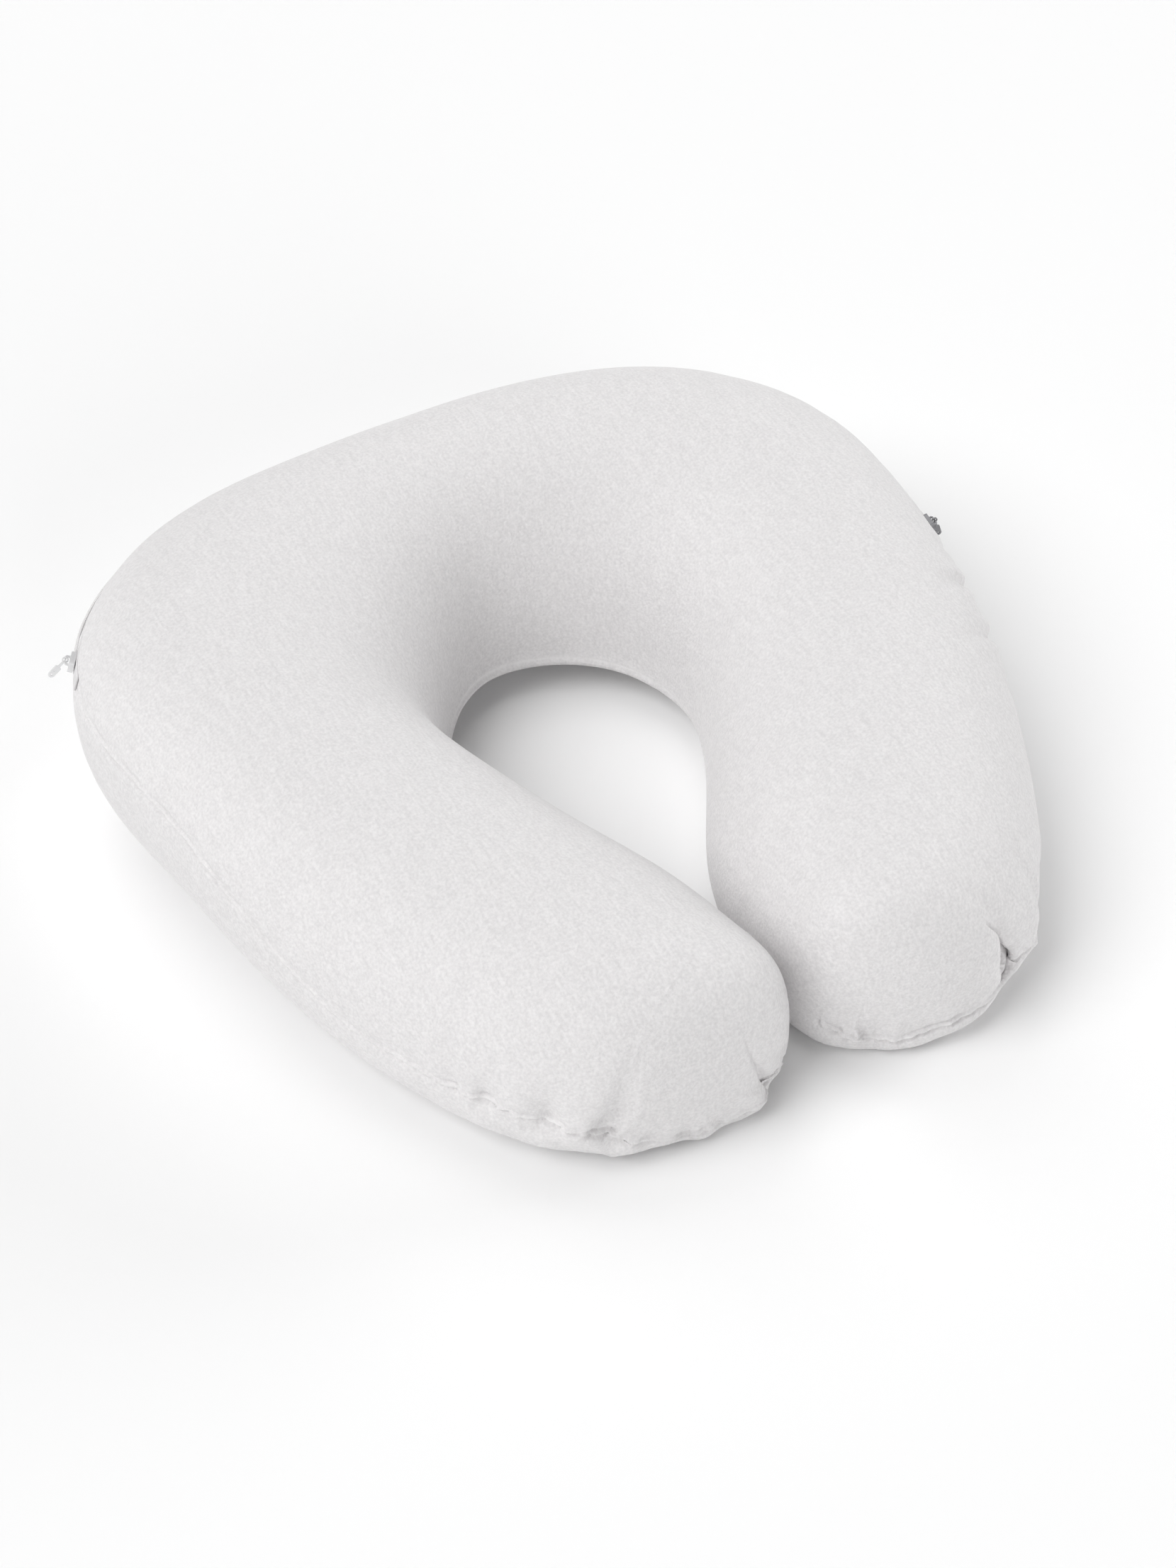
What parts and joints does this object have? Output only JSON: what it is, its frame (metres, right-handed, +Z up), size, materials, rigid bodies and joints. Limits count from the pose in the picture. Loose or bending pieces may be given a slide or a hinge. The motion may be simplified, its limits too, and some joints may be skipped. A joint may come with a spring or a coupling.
{
  "type": "inflatable nursing pillow",
  "caption": "Horseshoe nursing pillow, filled out under a stretched jersey cover, its rounded lobes closing at the front round a teardrop hole, with a zip in the back seam.",
  "frame": {"origin": "on the surface it lies on, under the middle of the whole pillow", "axes": "+Z up from the surface, the closed back of the horseshoe towards +Y, its mouth towards -Y, the lobe that lies nearer in the picture towards -X"},
  "size_m": [0.598, 0.5834, 0.1722],
  "materials": {
    "jersey": "soft brushed jersey knit, matt, very pale warm grey",
    "zip_tape": "woven tape, matt",
    "zip_coil": "satin coil",
    "pale_metal": "satin cast metal",
    "dark_metal": "dark plated cast metal"
  },
  "bodies": {
    "root": {"pillow_cover": "jersey", "zip_tape": "zip_tape", "zip_coil": "zip_coil", "zip_slider_left": "pale_metal", "zip_pull_left": "pale_metal", "zip_slider_right": "dark_metal", "zip_pull_right": "dark_metal"}
  },
  "joints": []
}
